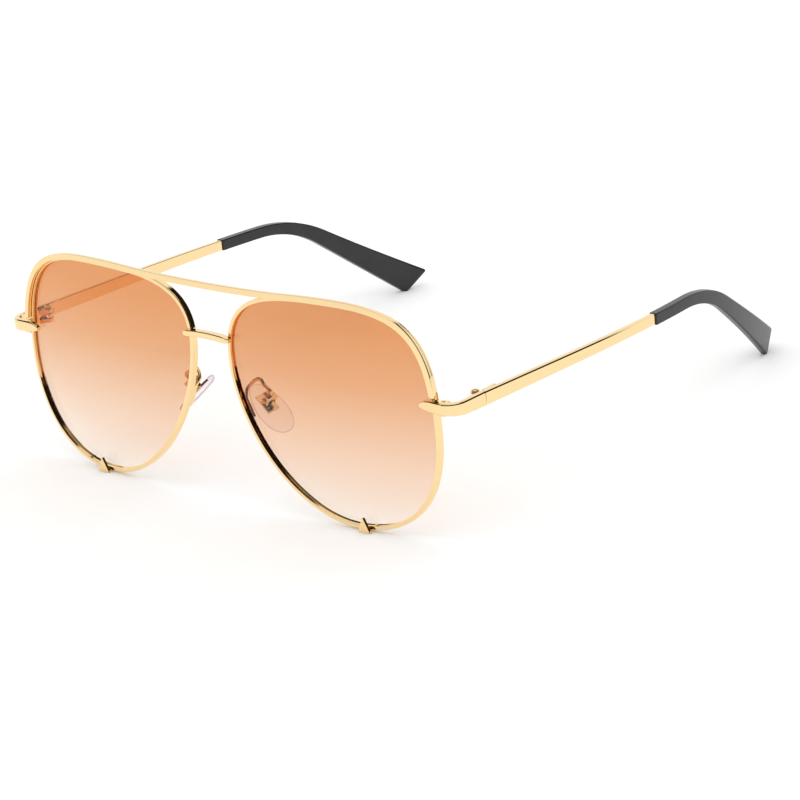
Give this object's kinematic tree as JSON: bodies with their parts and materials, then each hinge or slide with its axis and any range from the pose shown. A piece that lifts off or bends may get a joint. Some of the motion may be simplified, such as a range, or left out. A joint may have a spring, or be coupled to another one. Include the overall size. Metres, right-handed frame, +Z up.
{
  "type": "sunglasses",
  "caption": "Aviator sunglasses: teardrop gradient lenses in flat-wire rims, a brow bar over a low bridge, folding temples with moulded tips, rocking nose pads.",
  "frame": {"origin": "middle of the footprint on the surface it stands on, midway between the temples", "axes": "+Z up from the surface, -Y towards the front of the lenses, +X towards the wearer's left"},
  "size_m": [0.1534, 0.1424, 0.0579],
  "materials": {
    "gold": "polished",
    "screw": "satin",
    "lens": "gradient tint",
    "tip": "semi-gloss",
    "pad": "clear silicone"
  },
  "bodies": {
    "front": {"brow_bar": "gold", "bridge": "gold", "left_rim": "gold", "left_lens": "lens", "left_rim_foot": "gold", "left_end_piece": "gold", "left_rim_lock_upper": "gold", "left_rim_lock_lower": "gold", "left_rim_lock_screw": "screw", "left_hinge_front": "gold", "left_hinge_screw": "screw", "left_pad_arm": "gold", "left_pad_box": "gold", "left_pad_screw": "screw", "right_rim": "gold", "right_lens": "lens", "right_rim_foot": "gold", "right_end_piece": "gold", "right_rim_lock_upper": "gold", "right_rim_lock_lower": "gold", "right_rim_lock_screw": "screw", "right_hinge_front": "gold", "right_hinge_screw": "screw", "right_pad_arm": "gold", "right_pad_box": "gold", "right_pad_screw": "screw"},
    "left_temple_body": {"left_temple": "gold", "left_temple_tip": "tip", "left_hinge_temple": "gold"},
    "left_pad_body": {"left_nose_pad": "pad", "left_pad_insert": "gold"},
    "right_temple_body": {"right_temple": "gold", "right_temple_tip": "tip", "right_hinge_temple": "gold"},
    "right_pad_body": {"right_nose_pad": "pad", "right_pad_insert": "gold"}
  },
  "joints": [
    {"name": "left_temple_fold", "type": "hinge", "parent": "front", "child": "left_temple_body", "pos_m": [0.0735, -0.05622, 0.03425], "axis": [0, 0, 1], "range_deg": [0, 87]},
    {"name": "right_temple_fold", "type": "hinge", "parent": "front", "child": "right_temple_body", "pos_m": [-0.0735, -0.05622, 0.03425], "axis": [0, 0, -1], "range_deg": [0, 84]},
    {"name": "left_pad_rock", "type": "hinge", "parent": "front", "child": "left_pad_body", "pos_m": [0.0129, -0.06472, 0.0272], "axis": [0.1894, 0.972, 0.1391], "range_deg": [-8, 8]},
    {"name": "right_pad_rock", "type": "hinge", "parent": "front", "child": "right_pad_body", "pos_m": [-0.0129, -0.06472, 0.0272], "axis": [0.1894, -0.972, -0.1391], "range_deg": [-8, 8]}
  ]
}
